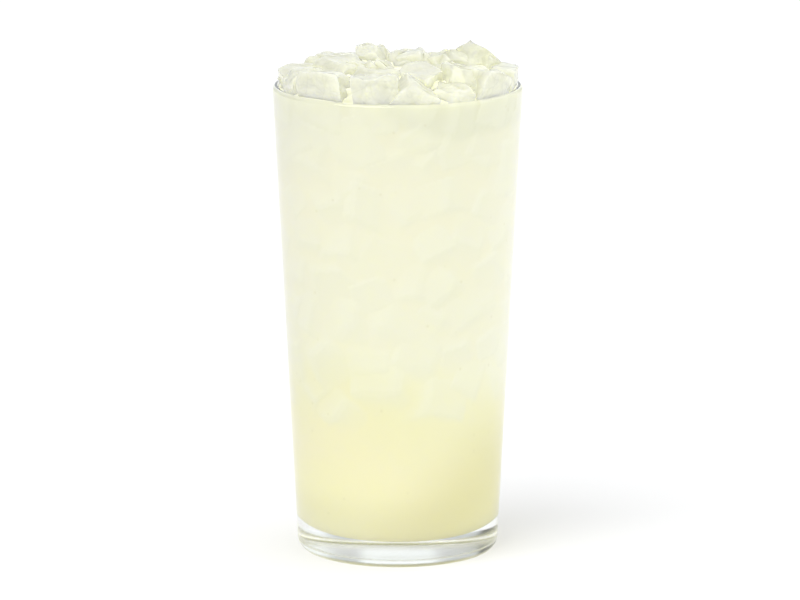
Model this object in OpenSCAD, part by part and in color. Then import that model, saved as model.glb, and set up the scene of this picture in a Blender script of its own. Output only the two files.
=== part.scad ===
// Glass of iced lemonade: a tall tapered tumbler with a thick foot, the drink that fills it
// and the heap of ice lumps that stands above its lip.
// The origin is on the table under the middle of the tumbler, with +Z up. Lengths are in millimetres.

/* [Tumbler] */
// Height from the table to the top of the lip
glass_h = 162; // [120:1:200]
// Outer diameter of the straight taper at the lip
rim_d = 85.6; // [76:0.1:104]
// Outer diameter of the straight taper where it would meet the table
base_d = 68.6; // [58:0.1:84]
// Thickness of the wall, measured level
wall = 2.6; // [1.6:0.1:4]
// Thickness of the solid floor
floor_t = 7.3; // [6:0.1:20]
// Radius of the outer corner at the foot
heel_r = 4.5; // [2:0.5:9]
// Radius of the inner corner at the floor
inner_heel_r = 20; // [3:0.5:24]
// Width of the flat ring that the foot stands on
foot_ring_w = 1.5; // [1:0.1:8]
// Height of the flat recess under the foot
punt_h = 0.8; // [0.4:0.1:3]
// Width of the slope at the edge of the recess
punt_slope_w = 0.8; // [0.2:0.1:3]

/* [Drink] */
// Drop from the lip to the top of the drink
fill_drop = 8; // [4:0.5:40]
// Gap between the wall and what fills the tumbler
fit_gap = 0.1; // [0.05:0.01:0.3]

/* [Ice heap] */
// Height of the packed ice above the lip, at the middle of the heap
core_rise = 5; // [0:0.5:8]
// How far the packed ice stays below the lip, at the wall
core_drop = 1.5; // [0.5:0.5:6]
// Width of a middling lump
lump_w = 15; // [8:0.5:24]
// How far a lump may lean out over the lip
lean_out = 1.6; // [0:0.1:2.4]
// Share of a lump's width that its chamfered edges take
chamfer_share = 0.2; // [0.05:0.01:0.3]
// Most that a lump is tipped, in degrees
most_tip = 20; // [0:1:30]

/* [Hidden] */

// The lumps that stand in the packed ice. Each row is a lump's place across and away from the
// middle, as shares of the mouth's radius, its width as a share of lump_w, the share of its
// height that stands out of the packed ice, and its turn about the vertical in degrees.
LUMPS = [
    [-0.80, -0.08, 1.00, 0.45,   8],
    [-0.52,  0.13, 1.00, 0.42,  24],
    [-0.55, -0.41, 1.10, 0.29,  -6],
    [-0.21,  0.33, 0.83, 0.62,  -4],
    [ 0.09,  0.38, 0.87, 0.38,  18],
    [-0.18, -0.65, 1.13, 0.31,   4],
    [ 0.20, -0.72, 0.97, 0.36,  42],
    [ 0.24,  0.03, 1.03, 0.36,  30],
    [ 0.64,  0.18, 0.97, 0.76,  40],
    [ 0.56, -0.33, 1.07, 0.46,  12],
    [ 0.80, -0.28, 0.90, 0.49, -22],
    [ 0.85,  0.23, 0.73, 0.64,  20],
    [-0.89,  0.23, 0.60, 0.43,  50],
    [-0.62,  0.52, 1.00, 0.39,  33],
    [-0.24,  0.74, 1.00, 0.34,  12],
    [ 0.22,  0.75, 0.97, 0.38,  64],
    [ 0.61,  0.60, 1.00, 0.45,  21],
    [-0.19, -0.18, 1.07, 0.27,  57],
    [ 0.22, -0.34, 0.97, 0.31,  70],
];

LEVEL = glass_h - fill_drop;                  // height of the top of the drink
TAPER = (rim_d - base_d) / 2 / glass_h;       // growth of the radius with height
SLOPE = atan(TAPER);                          // the wall's lean from the vertical
LIP_R = wall * cos(SLOPE) / 2;                // radius of the rounded lip
LIP_Z = glass_h - LIP_R;                      // height of the lip's centre
MOUTH_R = base_d / 2 + LEVEL * TAPER - wall - fit_gap; // radius of the drink's top
ARC_STEPS = 12;                               // chords in each corner of an outline
ROUND = 128;                                  // facets of the smooth turned surfaces
HEAP_ROUND = 64;                              // facets of the heap's turned surfaces

// Outer and inner radius of the tumbler's straight wall at a height
function outer_r(z) = base_d / 2 + z * TAPER;
function inner_r(z) = outer_r(z) - wall;

// Points of an arc about a centre, from one angle to another
function arc(centre, r, from, to) =
    [for (i = [0:ARC_STEPS])
        let (a = from + (to - from) * i / ARC_STEPS)
        centre + r * [cos(a), sin(a)]];

// Centre of a corner of radius r that touches a floor at z0 and a sloping wall, whose radius
// would be side_r at the table
function corner(r, z0, side_r) = [side_r + (z0 + r) * TAPER - r / cos(SLOPE), z0 + r];

// Half of the cavity's outline, from the floor's edge up its corner, with a gap to the glass
function cavity_corner(gap) =
    arc(corner(inner_heel_r, floor_t, base_d / 2 - wall), inner_heel_r - gap, -90, -SLOPE);

// Height of the packed ice at a distance from the middle
function packed_z(r) = glass_h - core_drop + (core_rise + core_drop) * (1 - pow(r / MOUTH_R, 2));

// A number from 0 to 1 that looks random but is the same each time
function scatter(row, salt) = let (s = sin(row * 127.1 + salt * 311.7) * 437.58) s - floor(s);

// Half outline of the recess under the foot, from the axis out to the flat ring
function punt_outline() =
    let (ring_in = corner(heel_r, 0, base_d / 2)[0] - foot_ring_w)
    [[0, punt_h], [ring_in - punt_slope_w, punt_h], [ring_in, 0]];

// The tumbler: one piece of clear pressed glass
module glass() {
    color("azure", 0.35)
    rotate_extrude($fn = ROUND)
    polygon(concat(
        punt_outline(),
        arc(corner(heel_r, 0, base_d / 2), heel_r, -90, -SLOPE),
        arc([outer_r(LIP_Z) - wall / 2, LIP_Z], LIP_R, -SLOPE, 180 - SLOPE),
        [for (i = [ARC_STEPS:-1:0]) cavity_corner(0)[i]],
        [[0, floor_t]]
    ));
}

// The drink, up to its level, a hair clear of the glass
module lemonade() {
    color("lemonchiffon")
    rotate_extrude($fn = ROUND)
    polygon(concat(
        [[0, floor_t + fit_gap]],
        cavity_corner(fit_gap),
        [[MOUTH_R, LEVEL], [0, LEVEL]]
    ));
}

// The space that ice may fill: inside the wall up to the lip, then a little way out over it
module heap_room(top) {
    lip_in = inner_r(LIP_Z) - fit_gap;
    rotate_extrude($fn = HEAP_ROUND)
    polygon([
        [0, LEVEL],
        [MOUTH_R, LEVEL],
        [lip_in, LIP_Z],
        [lip_in, glass_h + fit_gap],
        [lip_in + lean_out, glass_h + fit_gap],
        [lip_in + lean_out, top],
        [0, top]
    ]);
}

// The packed ice between the lumps, highest at the middle
module packed_ice() {
    rotate_extrude($fn = HEAP_ROUND)
    polygon(concat(
        [[0, LEVEL], [MOUTH_R, LEVEL]],
        [for (i = [ARC_STEPS:-1:0])
            let (r = MOUTH_R * i / ARC_STEPS)
            [r, packed_z(r)]]
    ));
}

// One lump: a block of a given width with chamfered edges, a little uneven from row to row
module lump(row, width) {
    size = width * [1, 0.86 + 0.22 * scatter(row, 1), 0.88 + 0.2 * scatter(row, 2)];
    cut = 2 * chamfer_share * width * (0.8 + 0.4 * scatter(row, 3));
    hull() {
        cube([size[0], size[1] - cut, size[2] - cut], center = true);
        cube([size[0] - cut, size[1], size[2] - cut], center = true);
        cube([size[0] - cut, size[1] - cut, size[2]], center = true);
    }
}

// The lumps, each in its place and tipped a little its own way
module lumps() {
    for (row = [0:len(LUMPS) - 1]) {
        at = LUMPS[row];
        place = MOUTH_R * [at[0], at[1]];
        width = lump_w * at[2];
        tip_x = most_tip * (2 * scatter(row, 4) - 1);
        tip_y = most_tip * (2 * scatter(row, 5) - 1);
        translate([place[0], place[1], packed_z(norm(place)) + width * (at[3] - 0.5)])
        rotate([tip_x, tip_y, at[4]])
        lump(row, width);
    }
}

// The heap of ice above the drink: its lumps stand in packed ice
module ice_heap() {
    color("honeydew")
    intersection() {
        union() {
            packed_ice();
            lumps();
        }
        heap_room(glass_h + rim_d / 2);
    }
}

glass();
lemonade();
ice_heap();
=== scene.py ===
# %% [markdown]
# # A glass of iced lemonade
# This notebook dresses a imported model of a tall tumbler, its drink and its heap of ice. The
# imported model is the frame: it holds the true sizes. Each new piece below takes its sizes from
# it, is built in metres where it belongs, and then rides on the frame.

# %% Load the frame
import math
import random
import bmesh
import bpy
from mathutils import Matrix, Vector, noise
from mathutils.bvhtree import BVHTree


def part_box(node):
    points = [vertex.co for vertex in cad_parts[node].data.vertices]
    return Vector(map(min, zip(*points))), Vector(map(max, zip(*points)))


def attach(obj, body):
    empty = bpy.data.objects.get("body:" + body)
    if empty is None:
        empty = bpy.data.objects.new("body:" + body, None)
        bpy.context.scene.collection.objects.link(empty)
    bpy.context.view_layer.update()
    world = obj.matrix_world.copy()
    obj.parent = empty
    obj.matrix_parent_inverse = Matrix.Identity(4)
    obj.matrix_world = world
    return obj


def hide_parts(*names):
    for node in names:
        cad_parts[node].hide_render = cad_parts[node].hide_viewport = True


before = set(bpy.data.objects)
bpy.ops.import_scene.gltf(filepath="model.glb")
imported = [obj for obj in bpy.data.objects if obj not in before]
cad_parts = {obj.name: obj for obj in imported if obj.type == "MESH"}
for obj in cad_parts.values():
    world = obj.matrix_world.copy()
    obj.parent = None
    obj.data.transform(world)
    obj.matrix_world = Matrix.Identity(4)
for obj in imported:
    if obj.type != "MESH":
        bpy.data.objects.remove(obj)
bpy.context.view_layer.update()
MM = 0.001
glass_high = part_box("glass")[1]
drink_low, drink_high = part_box("lemonade")
HEIGHT = glass_high[2]
RIM_R = glass_high[1]
LEVEL = drink_high[2]
print("tumbler", round(HEIGHT, 4), "m tall, drink level", round(LEVEL, 4))

# %% [markdown]
# ## The sizes of the tumbler
# A pressed tumbler is one turned shape, so a handful of sizes gives all of it. The outside is a
# straight taper. Inside, a large radius turns the floor into a bowl, and under the foot a flat
# recess leaves a narrow ring to stand on. All of this could be measured off the frame's mesh,
# but the few numbers that the frame was drawn from say it more plainly. The height, the rim and
# the floor come from the box of the frame.

# %% Name the tumbler's sizes
WALL = 2.6 * MM
FIT_GAP = 0.1 * MM
FLOOR = drink_low[2] - FIT_GAP
TAPER = 8.5 / 162.0
FOOT_R = RIM_R - (HEIGHT - WALL / 2) * TAPER
HEEL_R = 4.5 * MM
INNER_HEEL_R = 20.0 * MM
RING_W = 1.5 * MM
RECESS = 0.8 * MM
RECESS_SLOPE = 0.8 * MM
RECESS_ROUND = 0.3 * MM
TURNS = 192


def outer_r(z):
    """Outer radius of the wall at height z."""
    return FOOT_R + z * TAPER


def inner_r(z):
    """Inner radius of the wall at height z."""
    return outer_r(z) - WALL


print("foot radius", round(FOOT_R / MM, 2), "mm, floor", round(FLOOR / MM, 2), "mm")

# %% [markdown]
# ## From a bmesh to an object
# A bmesh is Blender's mesh for editing. Each new piece is finished as one, then its doubles
# are merged and its faces turned outwards, in that order, because a seam that is still open
# can fool the search for the outside. The object stays at the origin, and its mesh holds its
# place, so that one pattern on Object coordinates runs through all the pieces.

# %% Helper that makes the object
MERGE = 1e-6


def collect(name, bm, smooth=True):
    """Turns a bmesh into an object at the origin, with its faces out."""
    bmesh.ops.remove_doubles(bm, verts=bm.verts, dist=MERGE)
    bmesh.ops.recalc_face_normals(bm, faces=bm.faces)
    mesh = bpy.data.meshes.new(name)
    bm.to_mesh(mesh)
    bm.free()
    for face in mesh.polygons:
        face.use_smooth = smooth
    piece = bpy.data.objects.new(name, mesh)
    bpy.context.scene.collection.objects.link(piece)
    print(name, len(mesh.polygons), "faces")
    return piece


print("points closer than", MERGE / MM, "mm are merged")

# %% [markdown]
# ## Turning on a lathe
# A turned piece starts as a line of points in the XZ plane. A vertex bevel rounds the line's
# corners, and a full spin round Z makes the shape, with use_merge to close the seam. Doing the
# rounding on the line is cheaper and truer than beveling the finished solid.

# %% Helper that turns a line
def turned(name, corners, turns=TURNS):
    """Spins a line of (radius, height, rounding, segments) corners into a closed solid."""
    bm = bmesh.new()
    line = [bm.verts.new((r, 0.0, z)) for r, z, _, _ in corners]
    for a, b in zip(line, line[1:]):
        bm.edges.new((a, b))
    for vert, (_, _, rounding, segments) in zip(line, corners):
        if rounding > 0:
            bmesh.ops.bevel(
                bm, geom=[vert], offset=rounding, offset_type="OFFSET", affect="VERTICES",
                segments=segments, profile=0.5, material=-1,
            )
    bmesh.ops.spin(
        bm, geom=bm.verts[:] + bm.edges[:], axis=(0, 0, 1), cent=(0, 0, 0),
        angle=math.tau, steps=turns, use_merge=True,
    )
    return collect(name, bm)


print("a full turn has", TURNS, "steps unless a piece asks for more")

# %% [markdown]
# ## The tumbler
# The line runs from the flat recess under the foot, round the heel, up the outside, over the
# rounded lip, down the inside and across the floor. The thick floor and its round corners bend
# the light into bright and grey bands at the foot, so they are made as real thickness, not as
# a painted band.

# %% Turn the tumbler
RING_IN = FOOT_R - HEEL_R - RING_W
LIP_ROUND = WALL * 0.49
tumbler = turned("tumbler", [
    (0.0, RECESS, 0, 1),
    (RING_IN - RECESS_SLOPE, RECESS, RECESS_ROUND, 4),
    (RING_IN, 0.0, RECESS_ROUND, 4),
    (FOOT_R, 0.0, HEEL_R, 14),
    (outer_r(HEIGHT), HEIGHT, LIP_ROUND, 8),
    (inner_r(HEIGHT), HEIGHT, LIP_ROUND, 8),
    (inner_r(FLOOR), FLOOR, INNER_HEEL_R, 20),
    (0.0, FLOOR, 0, 1),
])

# %% [markdown]
# ## Breaking a lump of ice
# Machine ice comes as blocks that crack, knock, thaw and freeze together. A lump could be a
# bought-in rock generator or a noisy sphere, but ice breaks along flat faces. So a lump is a
# cube that a few random planes cut, as a chisel would. Its edges are then beveled and smoothed
# a little, as thawing does. Lumps that are seen close by get waves too: their long edges are
# split until noise along the normals can bend the faces, because wet ice is never quite flat.

# %% Cut one lump of ice
KNOCK = 0.10
CUT_REACH = (0.62, 0.88)
SHORT_EDGE, SLIVER = 0.05, 0.004
NEAR_FLAT = math.radians(9)
WAVE_EDGES = (0.30, 0.15)
WAVE_SCALE = 3.2


def cut_off(bm, way, share):
    """Cuts a bmesh with a plane that faces a way, and closes the cut."""
    reach = sum(abs(c) for c in way) * 0.5
    bmesh.ops.bisect_plane(
        bm, geom=bm.verts[:] + bm.edges[:] + bm.faces[:], dist=1e-5,
        plane_co=way * reach * share, plane_no=way, clear_outer=True, clear_inner=False,
    )
    rim = [e for e in bm.edges if e.is_boundary]
    if rim:
        bmesh.ops.contextual_create(bm, geom=rim)


def chop(rng, cuts=6, soften=0.07, segments=2, melt=0.25, waves=0.0):
    """One broken block about a unit across, in a bmesh of its own."""
    bm = bmesh.new()
    bmesh.ops.create_cube(bm, size=1.0)
    for v in bm.verts:
        v.co += Vector([rng.uniform(-KNOCK, KNOCK) for _ in range(3)])
    for _ in range(cuts):
        way = Vector([rng.uniform(-1, 1) for _ in range(3)])
        way.normalize()
        cut_off(bm, way, rng.uniform(*CUT_REACH))
    bmesh.ops.remove_doubles(bm, verts=bm.verts, dist=SHORT_EDGE)
    bmesh.ops.dissolve_limit(
        bm, angle_limit=NEAR_FLAT, verts=bm.verts, edges=bm.edges,
        use_dissolve_boundaries=False,
    )
    bmesh.ops.bevel(
        bm, geom=bm.edges[:], offset=soften, offset_type="OFFSET", affect="EDGES",
        segments=segments, profile=0.5, material=-1, clamp_overlap=True,
    )
    bmesh.ops.remove_doubles(bm, verts=bm.verts, dist=SLIVER)
    if waves:
        bmesh.ops.triangulate(bm, faces=bm.faces[:])
        for length in WAVE_EDGES:
            long_edges = [e for e in bm.edges if e.calc_length() > length]
            bmesh.ops.subdivide_edges(bm, edges=long_edges, cuts=1, use_grid_fill=True)
            bmesh.ops.triangulate(bm, faces=[f for f in bm.faces if len(f.verts) > 3])
    for _ in range(3 if waves else 1):
        bmesh.ops.smooth_vert(
            bm, verts=bm.verts, factor=melt, use_axis_x=True, use_axis_y=True, use_axis_z=True,
        )
    if waves:
        bm.normal_update()
        shift = Vector([rng.uniform(0, 50) for _ in range(3)])
        for v in bm.verts:
            v.co += v.normal * waves * noise.noise(v.co * WAVE_SCALE + shift)
    bmesh.ops.recalc_face_normals(bm, faces=bm.faces)
    return bm


sample = chop(random.Random(0))
print("a plain lump has", len(sample.faces), "faces")
sample.free()

# %% [markdown]
# ## Placing a lump
# A matrix scales, turns and moves a lump, and it is applied to the points, not to an object,
# so that all lumps can share one mesh. Each point also keeps how clear its lump is, which the
# material reads later. Afterwards every point that went through the glass is drawn back in
# towards the axis, and above the lip a lump may lean out a little.

# %% Helpers that place lumps
WALL_CLEAR = 0.15 * MM
LIP_CLEAR = 0.3 * MM
LEAN_RISE = 0.8


def add_lump(target, rng, place, size, turn, top=None, clear=0.0, **cut):
    """Adds a lump to a bmesh: place and size in metres, turns in degrees, top its highest z."""
    one = chop(rng, **cut)
    shape = (
        Matrix.Translation(Vector(place))
        @ Matrix.Rotation(math.radians(turn[2]), 4, "Z")
        @ Matrix.Rotation(math.radians(turn[1]), 4, "Y")
        @ Matrix.Rotation(math.radians(turn[0]), 4, "X")
        @ Matrix.Diagonal((size[0], size[1], size[2], 1.0))
    )
    bmesh.ops.transform(one, matrix=shape, verts=one.verts)
    if top is not None:
        lift = top - max(v.co.z for v in one.verts)
        bmesh.ops.translate(one, vec=(0, 0, lift), verts=one.verts)
    mesh = bpy.data.meshes.new("one_lump")
    one.to_mesh(mesh)
    one.free()
    layer = target.verts.layers.float.get("clear") or target.verts.layers.float.new("clear")
    before = len(target.verts)
    target.from_mesh(mesh)
    bpy.data.meshes.remove(mesh)
    target.verts.ensure_lookup_table()
    for v in target.verts[before:]:
        v[layer] = clear


def hold_in(bm, lean=0.0):
    """Keeps a bmesh's points inside the tumbler's wall, or leaning a little over the lip."""
    for v in bm.verts:
        r = math.hypot(v.co.x, v.co.y)
        most = inner_r(min(v.co.z, HEIGHT)) - WALL_CLEAR
        over = v.co.z - HEIGHT - LIP_CLEAR
        if over > 0:
            most += min(lean, LEAN_RISE * over)
        if r > most:
            v.co.x *= most / r
            v.co.y *= most / r


print("lumps stay", round(WALL_CLEAR / MM, 2), "mm clear of the wall")

# %% [markdown]
# ## Ice sunk in the drink
# Ice floats, so it packs the upper part of the glass and leaves the foot to plain drink. Lumps
# stand in rings just behind the wall, some against it and some a few millimetres in, where
# they are seen only dimly through the cloudy drink. The lowest ring has gaps, so that the ice
# ends unevenly. These lumps get one bevel segment, because the drink blurs them anyway.

# %% Sink the ice
SUNK_LOW = 60 * MM
SUNK_STEP = 13.0 * MM
SUNK_TOP = LEVEL + 4 * MM
SUNK_SIZES = (12, 19)
SUNK_DEPTHS = [0.40, 0.46, 0.50, 0.56, 0.62]
SUNK_CUT = {"cuts": 5, "soften": 0.08, "segments": 1, "melt": 0.2}
LUMPS_PER_RING = 15
GAP_CHANCE = 0.45


def sunk_mesh():
    """Rings of lumps behind the wall, from the drink's lower third up to its level."""
    rng = random.Random(5)
    bm = bmesh.new()
    rows = int((LEVEL - SUNK_LOW) / SUNK_STEP)
    for row in range(rows + 1):
        for i in range(LUMPS_PER_RING):
            size = rng.uniform(*SUNK_SIZES) * MM
            a = math.tau * (i + 0.5 * (row % 2) + rng.uniform(-0.25, 0.25)) / LUMPS_PER_RING
            z = SUNK_LOW + SUNK_STEP * (row + rng.uniform(-0.35, 0.35))
            if row == 0 and rng.random() < GAP_CHANCE:
                continue
            r = inner_r(z) - size * rng.choice(SUNK_DEPTHS)
            box = (size, size * rng.uniform(0.8, 1.1), size * rng.uniform(0.75, 1.1))
            turn = [rng.uniform(-40, 40), rng.uniform(-40, 40), rng.uniform(0, 360)]
            z -= max(0.0, z + size * 0.6 - SUNK_TOP)
            add_lump(bm, rng, (r * math.cos(a), r * math.sin(a), z), box, turn, **SUNK_CUT)
    hold_in(bm)
    return bm


sunk = sunk_mesh()
sunk_behind = BVHTree.FromBMesh(sunk)
sunk_ice = collect("sunk_ice", sunk)

# %% [markdown]
# ## The heap above the drink
# The lumps of the heap are listed one by one, because they shape its outline, and a random
# outline seldom looks right. Each row gives a lump's place across and away from the middle, its
# top above the lip, its width, depth and height, two tips and a turn in degrees, how clear it
# is, and how many cuts broke it. Lengths are in millimetres. Each row has a seed of its own, so
# a change to one lump leaves the others alone.

# %% List the lumps of the heap
HEAP = [
    # front row, left to right
    (-31.5, -13.0, 8.4, 15, 14, 17, 3, -4, 8, 0.12, 6),
    (-24.8, -26.0, 9.8, 19, 15, 19, -4, 4, -30, 0.12, 6),
    (-7.9, -33.0, 9.8, 14.5, 15, 19, 4, -3, 5, 0.15, 5),
    (5.2, -33.0, 8.8, 14, 13, 14, 4, 38, 8, 0.2, 3),
    (17.5, -30.5, 5.6, 14, 14, 16, -10, 8, -24, 0.4, 8),
    (23.0, -18.0, 10.8, 18, 16, 18, 8, 6, 16, 0.5, 9),
    (31.5, -21.5, 9.2, 18, 14, 18, -6, 12, 34, 0.0, 6),
    # middle row
    (-39.0, 1.0, 3.1, 5, 6, 7, 20, 10, 30, 0.7, 4),
    (-33.5, 2.0, 7.0, 14, 15, 15, 4, -6, 10, 0.15, 7),
    (-20.0, -7.0, 11.2, 17, 17, 18, 6, 4, 30, 0.1, 8),
    (-7.0, -14.0, 10.2, 18, 18, 18, -5, 4, 12, 0.05, 7),
    (8.5, -14.0, 9.6, 17, 17, 17, 10, -8, 50, 0.15, 8),
    (36.0, -2.0, 7.8, 12, 15, 15, 4, 6, -8, 0.15, 5),
    # back rows
    (-19.5, 9.0, 10.2, 17, 17, 16, -6, 6, 22, 0.1, 7),
    (-8.4, 11.0, 12.2, 11, 15, 18, 3, -6, -4, 0.3, 6),
    (2.6, 4.0, 11.0, 14, 17, 18, 8, 8, 20, 0.12, 7),
    (13.0, 5.5, 11.2, 11, 16, 18, -8, -6, 50, 0.15, 6),
    (25.4, 5.0, 14.4, 18, 17, 17, 45, 33, -24, 0.45, 3),
    (18.5, 1.0, 12.0, 8, 8, 9, 20, 10, 15, 0.45, 4),
    (30.5, 1.5, 10.5, 8, 8, 9, -15, 20, 40, 0.45, 4),
    (34.5, 12.0, 5.8, 14, 14, 13, 0, 8, 20, 0.2, 6),
    (-32.0, 17.0, 4.4, 14, 14, 13, 10, 0, 50, 0.15, 6),
    (-22.0, 22.5, 6.6, 18, 17, 16, 6, -8, 33, 0.15, 7),
    (-8.0, 27.5, 6.2, 18, 18, 16, -8, 6, 12, 0.15, 7),
    (8.0, 24.5, 7.4, 17, 18, 16, 8, 8, 64, 0.15, 7),
    (22.0, 23.5, 7.2, 18, 18, 17, -6, -10, 21, 0.2, 7),
]

print("heap:", len(HEAP), "lumps, the highest", max(row[2] for row in HEAP), "mm above the lip")

# %% [markdown]
# ## Slush and chips
# Between the lumps lies fine ice that the drink has soaked. Its surface is a low dome that
# starts just under the lip, and small chips stick out of it. The front gets no chips, because
# the large lumps there stand close together, and many chips look like gravel. The lumps of the
# heap are rounder than the sunk ones, because the open air thaws their edges first.

# %% Place the heap
CHIPS = 34
CHIP_SIZES = (5.0, 10.0)
CHIP_FRONT = -14 * MM
CHIP_EDGE = 3 * MM
CHIP_CUT = {"cuts": 4, "soften": 0.08, "segments": 1, "melt": 0.2}
SLUSH_EDGE = HEIGHT - 0.6 * MM
SLUSH_RISE = 7.5 * MM
HEAP_LEAN = 1.2 * MM
HEAP_CUT = {"soften": 0.13, "segments": 3, "melt": 0.5, "waves": 0.08}


def slush_z(r):
    """Height of the soaked fine ice between the lumps, at a distance from the axis."""
    share = 1 - r / inner_r(SLUSH_EDGE)
    return SLUSH_EDGE + SLUSH_RISE * (1 - (1 - share) ** 3)


def add_chips(bm):
    """Scatters small chips over the slush, behind the front lumps."""
    rng = random.Random(11)
    for _ in range(CHIPS):
        a = rng.uniform(0, math.tau)
        r = (inner_r(HEIGHT) - CHIP_EDGE) * math.sqrt(rng.random())
        size = rng.uniform(*CHIP_SIZES) * MM
        z = slush_z(r) + rng.uniform(0.5, 2.4) * MM
        if r * math.sin(a) < CHIP_FRONT:
            continue
        box = (size, size * rng.uniform(0.6, 1.0), size * rng.uniform(0.6, 1.0))
        turn = [rng.uniform(-50, 50), rng.uniform(-50, 50), rng.uniform(0, 360)]
        add_lump(bm, rng, (r * math.cos(a), r * math.sin(a), z), box, turn, top=z + size * 0.3,
                 clear=rng.choice([0.0, 0.1, 0.3]), **CHIP_CUT)


def heap_mesh():
    """All the lumps of the heap in one bmesh, kept inside the tumbler's mouth."""
    bm = bmesh.new()
    for seed, row in enumerate(HEAP):
        x, y, top, w, d, h, tip_x, tip_y, turn, clear, cuts = row
        add_lump(bm, random.Random(seed), (x * MM, y * MM, HEIGHT), (w * MM, d * MM, h * MM),
                 (tip_x, tip_y, turn), top=HEIGHT + top * MM, clear=clear, cuts=cuts,
                 **HEAP_CUT)
    add_chips(bm)
    hold_in(bm, lean=HEAP_LEAN)
    return bm


heap = heap_mesh()
heap_behind = BVHTree.FromBMesh(heap)
ice_lumps = collect("ice_lumps", heap)

# %% [markdown]
# ## The lemonade
# Drink wets the glass, so no air lies between them. The solid of the drink reaches a hair into
# the wall, which hides the gap that the frame keeps for its checks. At the top there is no
# clear level: the drink soaks the fine ice between the lumps, up to just under the lip. So the
# body of drink goes on into the low dome of slush. The side gets many small faces, because it
# carries the pattern of the ice just behind it.

# %% Turn the drink
WET = 0.12 * MM
DRINK_ROWS = 180
DRINK_TURNS = 360
SLUSH_ROWS = 34
ABOVE_HEEL = 2.0 * MM


def drink_line():
    """Corners of the drink from the axis, round the heel, up the wall and over the slush."""
    low = FLOOR - WET
    corners = [(0.0, low, 0, 1), (inner_r(low) + WET, low, INNER_HEEL_R, 20)]
    first = FLOOR + INNER_HEEL_R + ABOVE_HEEL
    for i in range(DRINK_ROWS + 1):
        z = first + (SLUSH_EDGE - first) * i / DRINK_ROWS
        corners.append((inner_r(z) + WET, z, 0, 1))
    for i in range(1, SLUSH_ROWS + 1):
        share = i / SLUSH_ROWS
        radius = inner_r(SLUSH_EDGE) * (1 - share)
        corners.append((radius + WET * (1 - share), slush_z(radius), 0, 1))
    return corners


lemonade = turned("lemonade_body", drink_line(), turns=DRINK_TURNS)

# %% [markdown]
# ## Uneven slush
# A turned dome looks like cream. A slow noise lifts and sinks it by up to a millimetre, and a
# fine one adds grains. The slow one fades out a little below the edge, and the fine one fades
# out towards the wall, so that the drink still meets the glass in a clean line.

# %% Roughen the slush
ROUGH_BAND = 4 * MM
GRAIN_BAND = 3 * MM
SWELL, SWELL_SCALE = 1.1 * MM, 9
GRAIN, GRAIN_SCALE = 1.8 * MM, 230


def roughen(mesh):
    """Moves the points of the slush up and down, and returns how many it moved."""
    moved = 0
    for v in mesh.vertices:
        above = v.co.z - SLUSH_EDGE + ROUGH_BAND
        if above <= 0:
            continue
        inside = inner_r(SLUSH_EDGE) - math.hypot(v.co.x, v.co.y)
        up = min(1.0, above / ROUGH_BAND)
        inwards = min(1.0, (inside + WET) / GRAIN_BAND) if inside > 0 else 0
        v.co.z += up * SWELL * noise.noise(v.co.normalized() * SWELL_SCALE)
        v.co.z += inwards * GRAIN * noise.noise(v.co * GRAIN_SCALE)
        moved += 1
    mesh.update()
    return moved


print("points of slush moved:", roughen(lemonade.data))

# %% [markdown]
# ## Showing the sunk ice through the drink
# Real lemonade is cloudy: ice that touches the wall is plain to see, and a few millimetres of
# drink hide it. A true cloud would need slow volume light. Instead a ray goes from each point of
# the wall straight in towards the axis. Where it meets ice after a short way, the point is
# marked pale, and the slope of the ice there becomes painted light and shade: lighter where the
# ice faces up, darker where it faces one side. Points of the slush are marked as if ice lay
# right behind them, because they are half ice, and get a fixed, rather light painted tone.

# %% Look inwards for ice
SEE = 3.2 * MM
REACH = 16 * MM
STAND_OFF = 1.0 * MM
NEAR_WALL = 1.5 * MM
# Painted light and shade on the ice's facets: lighter facing up, darker facing one side.
LIT_UP, SHADED_SIDE = 0.75, 0.5
SLUSH_LIT = 0.7


def look_in(v):
    """How near ice is behind a point of the wall, and the painted light of its facet by how it
    faces; None if there is none.
    """
    out = Vector((v.co.x, v.co.y, 0)).normalized()
    start = out * (inner_r(v.co.z) + STAND_OFF) + Vector((0, 0, v.co.z))
    hits = [tree.ray_cast(start, -out, REACH) for tree in (sunk_behind, heap_behind)]
    hits = [found for found in hits if found[0] is not None]
    if not hits:
        return None
    _, normal, _, way = min(hits, key=lambda found: found[3])
    side = Vector((-out.y, out.x, 0))
    # Painted light: a facet facing up is lighter, one facing the side darker.
    face = 0.5 + 0.5 * (LIT_UP * normal.z - SHADED_SIDE * normal.dot(side))
    return math.exp(-max(0.0, way - STAND_OFF) / SEE), face


def mark_ice(piece):
    """Writes 'veil' (how near ice is behind) and the painted light and shade of the ice's facets
    on a piece's points.
    """
    mesh = piece.data
    veil = mesh.attributes.new("veil", "FLOAT", "POINT").data
    facet_light = mesh.attributes.new("facet_light", "FLOAT", "POINT").data
    met = 0
    for v in mesh.vertices:
        near, face = 0.0, 0.5
        if math.hypot(v.co.x, v.co.y) > inner_r(v.co.z) - NEAR_WALL:
            seen = look_in(v)
            if seen:
                near, face = seen
                met += 1
        elif v.co.z > SLUSH_EDGE:
            near, face = 1.0, SLUSH_LIT
        veil[v.index].value = near
        facet_light[v.index].value = face
    print(piece.name, "points with ice behind:", met)


mark_ice(lemonade)

# %% [markdown]
# ## Helpers for node materials
# A node material is a small machine of boxes and wires. These helpers add one box each: its
# settings, then its inputs, each a number, a colour or a wire from another box. All patterns
# read Object coordinates, in metres, so a scale of 100 gives marks about a centimetre wide.

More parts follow.
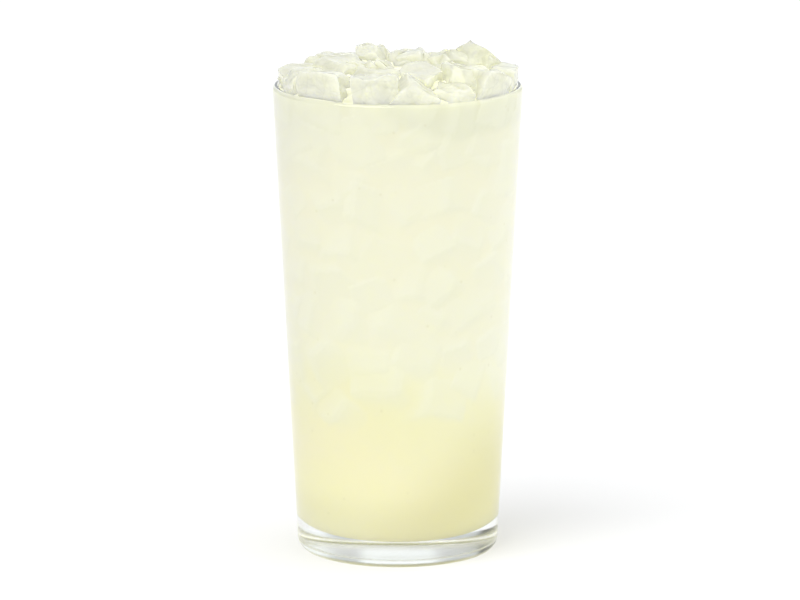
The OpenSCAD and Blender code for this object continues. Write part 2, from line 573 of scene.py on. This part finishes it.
# %% Helpers that add nodes
def add(tree, kind, inputs=None, **settings):
    """Adds a node; inputs maps a socket's name or number to a value or to another socket."""
    made = tree.nodes.new("ShaderNode" + kind)
    for name, value in settings.items():
        setattr(made, name, value)
    for key, value in (inputs or {}).items():
        if isinstance(value, bpy.types.NodeSocket):
            tree.links.new(value, made.inputs[key])
        else:
            made.inputs[key].default_value = value
    return made


def calc(tree, operation, *values, **settings):
    """A Math node over numbers or sockets; returns its result."""
    return add(tree, "Math", dict(enumerate(values)), operation=operation, **settings).outputs[0]


def spread(tree, value, low, high, to_low=0.0, to_high=1.0, smooth=False):
    """Maps low..high to to_low..to_high, held at the ends; returns the result."""
    return add(tree, "MapRange", {
        "Value": value, "From Min": low, "From Max": high, "To Min": to_low, "To Max": to_high,
    }, interpolation_type="SMOOTHSTEP" if smooth else "LINEAR").outputs[0]


def blend(tree, share, first, second):
    """Mixes two colours by the second one's share; returns the colour."""
    return add(tree, "Mix", {0: share, 6: first, 7: second}, data_type="RGBA").outputs[2]


def cloud(tree, where, scale, detail=2):
    """A noise texture over a place; returns the node."""
    return add(tree, "TexNoise", {"Vector": where, "Scale": scale, "Detail": detail})


def bumps(tree, height, strength, distance):
    """A bent normal from a height; returns the socket."""
    return add(tree, "Bump", {
        "Strength": strength, "Distance": distance, "Height": height,
    }).outputs[0]


def material(name, **sockets):
    """A new node material with constants set on its shader's own sockets."""
    mat = bpy.data.materials.new(name)
    mat.use_nodes = True
    shader = mat.node_tree.nodes["Principled BSDF"]
    for socket, value in sockets.items():
        shader.inputs[socket.replace("_", " ")].default_value = value
    print("material", name, "with", len(sockets), "constants")
    return mat, mat.node_tree, shader


def coordinates(tree):
    """The outputs of a Texture Coordinate node, such as Object and Normal."""
    return add(tree, "TexCoord").outputs


print("node helpers: add, calc, spread, blend, cloud, bumps, material, coordinates")

# %% [markdown]
# ## Light through glass and ice
# A path tracer finds it hard to send light through glass: the floor below a clear tumbler
# stays black and speckled. So a share of the shadow rays, and of the rays that bounce off dull
# surfaces, goes straight through, a little tinted. Glossy rays still meet real glass.

# %% Helper that lets light through
SOFT_RAYS = ("Is Shadow Ray", "Is Diffuse Ray")


def pass_light(tree, shader, share, tint):
    """Lets a share of shadow light and bounced light straight through a material."""
    path = add(tree, "LightPath")
    soft = calc(tree, "MAXIMUM", *[path.outputs[ray] for ray in SOFT_RAYS])
    if share < 1:
        soft = calc(tree, "MULTIPLY", soft, share)
    straight = add(tree, "BsdfTransparent", {0: tint})
    either = add(tree, "MixShader", {0: soft, 1: shader.outputs[0], 2: straight.outputs[0]})
    tree.links.new(either.outputs[0], tree.nodes["Material Output"].inputs["Surface"])
    print("lets", share, "of soft light through")


print("soft rays:", *SOFT_RAYS)

# %% [markdown]
# ## Glass
# Clear soda glass bends light with an index of about 1.5, and a hint of green tints it. The
# foot of a pressed glass comes out of the mould duller than the wall and is scuffed by every
# table, so its roughness fades from the table up over a few millimetres. A faint ripple in
# the normals bends reflections as pressed glass does, and a modelled ripple would need far
# more faces for the same look.

# %% Glass
HAZE_LOW, HAZE_HIGH = 1.5 * MM, 8.0 * MM
FOOT_HAZE = 0.24
clear_glass, tree, shader = material(
    "clear_glass", Base_Color=(0.99, 1.0, 0.995, 1), IOR=1.5, Transmission_Weight=1.0,
)
place = coordinates(tree)["Object"]
height = add(tree, "SeparateXYZ", {0: place}).outputs["Z"]
haze = spread(tree, height, HAZE_LOW, HAZE_HIGH, FOOT_HAZE, 0.0, smooth=True)
tree.links.new(haze, shader.inputs["Roughness"])
ripple = cloud(tree, place, 45, detail=1)
tree.links.new(bumps(tree, ripple.outputs["Fac"], 0.06, 0.4 * MM), shader.inputs["Normal"])
pass_light(tree, shader, 1.0, (1, 1, 1, 1))
tumbler.data.materials.append(clear_glass)

# %% [markdown]
# ## The drink's colours
# The pale upper part is drink over ice, and the deeper yellow below is drink alone. Low down on
# the right the drink is painted darker and deeper yellow: painted shade of the side away from
# the key light, over the shadowed floor. Low at the back a dark patch is painted shade, which
# the clear foot mirrors into its grey bands. Near the top on the left the ice is packed tighter,
# and the drink looks colder and greyer.

# %% Name the drink's colours
DRINK = [
    # share of the height, and the colour there
    (0.00, (0.84, 0.81, 0.51, 1)),
    (0.12, (0.83, 0.795, 0.53, 1)),
    (0.24, (0.81, 0.785, 0.515, 1)),
    (0.31, (0.81, 0.79, 0.535, 1)),
    (0.37, (0.815, 0.80, 0.585, 1)),
    (0.45, (0.812, 0.797, 0.62, 1)),
    (0.84, (0.812, 0.793, 0.62, 1)),
    (0.97, (0.79, 0.775, 0.59, 1)),
    (1.00, (0.72, 0.715, 0.54, 1)),
]
COLD = (0.67, 0.68, 0.575, 1)
# Painted shade: darker and deeper yellow low down on the right, the side away from the key
# light.
LOW_RIGHT_SHADE = (0.66, 0.62, 0.31, 1)
# Painted shade: a dark patch low at the back, which the clear foot mirrors as grey bands.
BACK_SHADE = (0.36, 0.37, 0.22, 1)
# The ice seen through the drink in painted shade and in painted light.
VEIL_SHADED = (0.74, 0.74, 0.585, 1)
VEIL_LIT = (0.85, 0.85, 0.715, 1)
PULP = (0.60, 0.56, 0.32, 1)
print("drink:", len(DRINK), "colours from foot to lip")

# %% [markdown]
# ## Colour by height and zone
# A ramp over the height gives the main change. Slow noise bends it, so that no ring shows, and a
# small tilt sets it lower on the right: painted shading for how the light falls across the
# glass. Each zone is a smooth step over a slanted height, and mixes its colour in. Painting the
# drink by hand would look as good, but one number could not change it.

# %% Helper that colours the plain drink
# Painted shading: the ramp sits lower on the right, as the light falls across the glass.
LIGHT_TILT = 0.25
BEND, BEND_SCALE = 0.045, 22
RAMP_LOW, RAMP_HIGH = 34.5 * MM, 184.5 * MM
COLD_LEAN, COLD_FROM, COLD_TO, COLD_SHARE = -1.15, 0.175, 0.240, 0.6
# Where the painted shade low on the right sits.
LOW_RIGHT_SHADE_LEAN, LOW_RIGHT_SHADE_FROM, LOW_RIGHT_SHADE_TO, LOW_RIGHT_SHADE_SHARE = 1.1, -0.034, 0.010, 0.7
# Where the painted shade for the foot to mirror sits, low at the back.
BACK_SHADE_LEAN, BACK_SHADE_FROM, BACK_SHADE_TO, BACK_SHADE_SHARE = 0.6, -0.012, 0.002, 0.7


def zone(tree, colour, other, slant, low, high, share):
    """Mixes another colour in where a slanted height runs from low to high."""
    return blend(tree, spread(tree, slant, low, high, 0.0, share, smooth=True), colour, other)


def plain_drink(tree, place):
    """Colour of the drink alone: the ramp over the height, tilted as painted shading, and the
    three zones, two of them painted shade.
    """
    x, y, z = add(tree, "SeparateXYZ", {0: place}).outputs
    slow = cloud(tree, place, BEND_SCALE, detail=3)
    light_tilted = calc(tree, "MULTIPLY_ADD", x, LIGHT_TILT, z)
    bent = calc(tree, "MULTIPLY_ADD", slow.outputs["Fac"], BEND, light_tilted)
    ramp = add(tree, "ValToRGB", {0: spread(tree, bent, RAMP_LOW, RAMP_HIGH)})
    stops = ramp.color_ramp.elements
    for end, (spot, colour) in ((0, DRINK[0]), (1, DRINK[-1])):
        stops[end].position = spot
        stops[end].color = colour
    for spot, colour in DRINK[1:-1]:
        stops.new(spot).color = colour
    under = calc(tree, "MULTIPLY", z, -1.0)
    aside = calc(tree, "MULTIPLY_ADD", x, COLD_LEAN, bent)
    # Slant for the painted shade low on the right.
    low = calc(tree, "MULTIPLY_ADD", x, LOW_RIGHT_SHADE_LEAN, under)
    # Slant for the painted shade low at the back.
    back_shade_slant = calc(tree, "MULTIPLY_ADD", y, BACK_SHADE_LEAN, under)
    colour = ramp.outputs["Color"]
    colour = zone(tree, colour, COLD, aside, COLD_FROM, COLD_TO, COLD_SHARE)
    # Painted shade low on the right.
    colour = zone(tree, colour, LOW_RIGHT_SHADE, low, LOW_RIGHT_SHADE_FROM, LOW_RIGHT_SHADE_TO, LOW_RIGHT_SHADE_SHARE)
    # Painted shade low at the back, which the foot mirrors.
    return zone(tree, colour, BACK_SHADE, back_shade_slant, BACK_SHADE_FROM, BACK_SHADE_TO, BACK_SHADE_SHARE)


print("the ramp sinks", LIGHT_TILT, "m per metre to the right")

# %% [markdown]
# ## Ice and pulp in the colour
# The marks from the rays lay the ice over the drink: the nearer the ice, the more of its own
# colour, with painted light and shade by how its facets face. Pulp is a cell pattern: the
# middles of a few random cells become faint specks, which costs nothing, while real specks would
# need thousands of pieces that nobody could tell apart.

# %% Helper that adds ice and pulp
VEIL_SHARE = 0.55
SPECK_SCALE, SPECK_IN, SPECK_OUT = 190, 0.06, 0.13
SPECK_FEW = 0.6
SPECK_FAINT = 0.22


def attribute(tree, name):
    """Reads a number kept on the points of a mesh."""
    return add(tree, "Attribute", attribute_name=name).outputs["Fac"]


def drink_colour(tree):
    """Colour of the drink with the ice behind it and the pulp in it."""
    place = coordinates(tree)["Object"]
    # Painted light and shade: the ice behind is lighter or darker by how its facets face.
    ice = blend(tree, attribute(tree, "facet_light"), VEIL_SHADED, VEIL_LIT)
    share = calc(tree, "MULTIPLY", attribute(tree, "veil"), VEIL_SHARE)
    over = blend(tree, share, plain_drink(tree, place), ice)
    cells = add(tree, "TexVoronoi", {"Scale": SPECK_SCALE, "Vector": place})
    speck = spread(tree, cells.outputs["Distance"], SPECK_IN, SPECK_OUT, 1.0, 0.0)
    pick = add(tree, "SeparateColor", {0: cells.outputs["Color"]}).outputs[0]
    amount = calc(tree, "MULTIPLY", speck, calc(tree, "GREATER_THAN", pick, SPECK_FEW))
    return blend(tree, calc(tree, "MULTIPLY", amount, SPECK_FAINT), over, PULP)


print("ice right behind the wall gives", VEIL_SHARE, "of its colour")

# %% [markdown]
# ## Drink
# Light gets into a cloudy drink and comes out again a few millimetres away, so the shader
# scatters it under the surface. Blue goes less far than red and green, which warms the
# shadows. The drink has no shine of its own, because the glass around it gives the gloss.

# %% Drink
cloudy, tree, shader = material(
    "cloudy_lemonade", Roughness=0.6, Specular_IOR_Level=0.0, Subsurface_Weight=1.0,
    Subsurface_Radius=(1.0, 1.0, 0.7), Subsurface_Scale=4 * MM,
)
tree.links.new(drink_colour(tree), shader.inputs["Base Color"])
lemonade.data.materials.append(cloudy)

# %% [markdown]
# ## How clear the ice is
# Ice is clear where it froze slowly and milky where it trapped air, so the share of light
# that goes straight through changes over a lump, on top of how clear the lump is as a whole.
# It takes its yellow only from the drink around it: a tinted clear lump would turn dark,
# because light crosses many faces in a heap.

# %% Wet ice, first the clear share
MILKY_FROM, MILKY_TO, MOST_CLEAR = 0.46, 0.64, 0.26
wet_ice, tree, shader = material(
    "wet_ice", Roughness=0.1, IOR=1.31, Subsurface_Weight=1.0,
    Subsurface_Radius=(1.0, 1.0, 0.8), Subsurface_Scale=5 * MM,
)
coords = coordinates(tree)
place = coords["Object"]
milky = cloud(tree, place, 150, detail=3)
clouded = spread(tree, milky.outputs["Fac"], MILKY_FROM, MILKY_TO, 0.0, MOST_CLEAR)
clear_share = calc(tree, "ADD", attribute(tree, "clear"), clouded, use_clamp=True)
tree.links.new(clear_share, shader.inputs["Transmission Weight"])
print("noise makes a lump up to", MOST_CLEAR, "clearer")

# %% [markdown]
# ## The colour of the ice
# Frosty ice is a pale grey-green that drifts between two tones. Cracks are the borders of a cell
# pattern, warped so that they don't run straight, and only a little darker than the rest: strong
# ones look like cobbles. The colour also carries painted shade on the tops and painted light on
# the sides, which evens out the strong light from above. Where the lump is clear the colour goes
# to white, because there it tints all the light that passes.

# %% Wet ice, then its colour
FROST_DIM = (0.605, 0.604, 0.505, 1)
FROST_BRIGHT = (0.665, 0.664, 0.57, 1)
CLEAR_WHITE = (0.95, 0.955, 0.88, 1)
CRACK_WARP = 9 * MM
CRACK_SCALE, CRACK_WIDTH, CRACK_TONE, CRACK_REST = 170, 0.07, 0.935, 1.01
# Painted light on the sides of the ice and painted shade on its tops.
SIDE_PAINTED_LIGHT, TOP_PAINTED_SHADE = 1.10, 0.92
FACING_SIDE, FACING_UP = -0.1, 0.9
tone = cloud(tree, place, 34)
frosty = blend(tree, tone.outputs["Fac"], FROST_DIM, FROST_BRIGHT)
warp = cloud(tree, place, 120)
bent = add(tree, "VectorMath", {
    0: warp.outputs["Color"], 1: (CRACK_WARP,) * 3, 2: place,
}, operation="MULTIPLY_ADD").outputs[0]
cells = add(tree, "TexVoronoi", {"Scale": CRACK_SCALE, "Vector": bent},
            feature="DISTANCE_TO_EDGE")
thin = spread(tree, cells.outputs["Distance"], 0.0, CRACK_WIDTH, CRACK_TONE, CRACK_REST,
              smooth=True)
facing = add(tree, "SeparateXYZ", {0: coords["Normal"]}).outputs["Z"]
# Painted shade on tops and painted light on sides, by which way the surface faces.
top_shade_side_light = spread(tree, facing, FACING_SIDE, FACING_UP, SIDE_PAINTED_LIGHT, TOP_PAINTED_SHADE)
cracked_and_shaded = add(tree, "VectorMath", {
    0: frosty, "Scale": calc(tree, "MULTIPLY", thin, top_shade_side_light),
}, operation="SCALE").outputs[0]
tree.links.new(blend(tree, clear_share, cracked_and_shaded, CLEAR_WHITE), shader.inputs["Base Color"])
print("cracks at", CRACK_TONE, "of the tone, tops at", TOP_PAINTED_SHADE)

# %% [markdown]
# ## The surface of the ice
# Thawing leaves shallow dents smaller than a face of the mesh, so a bump carries them. Almost
# all soft light passes the ice: with less, each gap between lumps would be a black joint.

# %% Wet ice, last its surface
ICE_LIGHT, ICE_TINT = 0.93, (0.96, 0.96, 0.88, 1)
dents = cloud(tree, place, 260, detail=3)
tree.links.new(bumps(tree, dents.outputs["Fac"], 0.32, 0.8 * MM), shader.inputs["Normal"])
pass_light(tree, shader, ICE_LIGHT, ICE_TINT)
for piece in (ice_lumps, sunk_ice):
    piece.data.materials.append(wet_ice)

# %% [markdown]
# ## Riding on the frame
# Each new piece names the body that carries it, the material slot it stands for and the part
# of the frame that it replaces. Nothing here moves by itself, so all ride on the root. The
# sunk ice replaces nothing: in the frame it is a share of the drink.

# %% Ride and replace
for piece, cad, slot in [
    (tumbler, "glass", "clear_glass"),
    (lemonade, "lemonade", "lemonade"),
    (ice_lumps, "ice_heap", "ice"),
    (sunk_ice, None, "ice"),
]:
    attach(piece, "root")
    if cad:
        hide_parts(cad)
    print(piece.name, "rides on the root in place of", cad)

# %% [markdown]
# ## Floor
# The floor is one plain square, a hair under the foot so that the two don't share a plane. It
# glows a little, because a white sweep lit from all round is brighter than one sun makes it.

# %% Floor
FLOOR_HALF = 6.0
bm = bmesh.new()
bmesh.ops.create_grid(bm, x_segments=1, y_segments=1, size=FLOOR_HALF)
bmesh.ops.translate(bm, vec=(0, 0, -0.05 * MM), verts=bm.verts)
floor = collect("studio_floor", bm, smooth=False)
floor_paint, tree, shader = material(
    "floor_paint", Base_Color=(0.725, 0.725, 0.735, 1), Roughness=0.9, Specular_IOR_Level=0.0,
    Emission_Color=(1, 1, 1, 1), Emission_Strength=0.15,
)
floor.data.materials.append(floor_paint)

# %% [markdown]
# ## The studio around the glass
# Glass only shows its shape where what it mirrors and bends changes, so the room is not one
# white. Low down it is a ring of panels: bright behind the glass and to the right, a narrow
# dark one to the left behind, which the foot bends into its dark lines. Above, a soft ceiling
# grows brighter to the right. The camera itself sees plain white behind everything. Real
# studios do the same with black card beside a white sweep.

# %% Walls of the room
WALLS = [
    # degrees from straight behind, clockwise seen from above, and brightness
    (-180, 0.75), (-110, 0.50), (-80, 0.45), (-75, 0.03), (-46, 0.03), (-41, 0.60), (-20, 0.64),
    (-13, 1.10), (13, 1.10), (17, 0.62), (27, 0.62), (34, 0.85), (40, 1.05), (60, 1.05),
    (70, 0.80), (84, 1.35), (130, 1.35), (180, 0.75),
]
WALL_TINT = (0.96, 1.0, 1.01)
world = bpy.data.worlds.new("studio")
bpy.context.scene.world = world
world.use_nodes = True
tree = world.node_tree
toward = coordinates(tree)["Generated"]
east, north, up = add(tree, "SeparateXYZ", {0: toward}).outputs
turn = calc(tree, "ARCTAN2", east, north)
room = add(tree, "ValToRGB", {0: spread(tree, turn, -math.pi, math.pi)})
stops = room.color_ramp.elements
stops[0].position, stops[1].position = 0.0, 1.0
for angle, _ in WALLS[1:-1]:
    stops.new(0.5 + angle / 360)
for stop, (_, value) in zip(stops, WALLS):
    stop.color = [value * part for part in WALL_TINT] + [1]
print("room:", len(stops), "panel edges")

# %% [markdown]
# ## Ceiling and what the camera sees
# The walls fade into the ceiling over a band of heights. Light Path tells a ray that comes
# straight from the camera from one that a surface sent on, so only the first sees plain white.

# %% Ceiling
CEILING_FROM, CEILING_TO = 0.34, 0.55
CEILING_LEFT, CEILING_RIGHT = 0.45, 1.50
BACKDROP = (1.05, 1.05, 1.05, 1)
overhead = spread(tree, up, CEILING_FROM, CEILING_TO)
ceiling = spread(tree, east, -1, 1, CEILING_LEFT, CEILING_RIGHT)
lit = blend(tree, overhead, room.outputs["Color"], ceiling)
eye = add(tree, "LightPath").outputs["Is Camera Ray"]
background = tree.nodes["Background"]
tree.links.new(blend(tree, eye, lit, BACKDROP), background.inputs["Color"])
background.inputs["Strength"].default_value = 1.0
print("ceiling from", CEILING_LEFT, "on the left to", CEILING_RIGHT, "on the right")

# %% [markdown]
# ## Light bounces
# A ray that looks through the foot crosses glass, drink and glass again, and may be mirrored
# inside more than once. With too few bounces it ends early and leaves a black patch. The
# Standard view adds no film curve, so a white ground stays white.

# %% Bounces and view
scene = bpy.context.scene
scene.view_settings.view_transform = "Standard"
scene.cycles.max_bounces = 24
scene.cycles.transmission_bounces = 24
scene.cycles.glossy_bounces = 12
print("bounces", scene.cycles.max_bounces)

# %% [markdown]
# ## Key light
# A sun lamp has the same strength everywhere, so only its direction and its width count. This
# one is wide, as a large soft box is, which gives the broad pale shadow to the right behind.

# %% Key light
SUN_WIDTH = math.radians(45)
SUN_WAY = Vector((0.405, 0.425, -0.81))
key = bpy.data.objects.new("key", bpy.data.lights.new("key", "SUN"))
key.data.angle = SUN_WIDTH
key.data.energy = 1.4
key.rotation_euler = SUN_WAY.to_track_quat("-Z", "Y").to_euler()
scene.collection.objects.link(key)
print("sun", round(math.degrees(key.data.angle)), "degrees wide")

# %% [markdown]
# ## Camera
# A long lens from far away keeps upright lines almost parallel, which suits a tall thing. The
# camera looks down a little, so the mouth shows as a flat ellipse.

# %% Camera
EL = math.radians(11.45)
AWAY = 2.4
aim = Vector((0.8 * MM, 0, 87 * MM))
ahead = Vector((0, math.cos(EL), -math.sin(EL)))
lens = bpy.data.cameras.new("camera")
lens.sensor_width = 36
lens.lens = 314.6
lens.clip_start = 0.05
lens.clip_end = 20
camera = bpy.data.objects.new("camera", lens)
camera.location = aim - ahead * AWAY
camera.rotation_euler = (math.radians(90) - EL, 0, 0)
scene.collection.objects.link(camera)
scene.camera = camera
print("camera", AWAY, "m away")
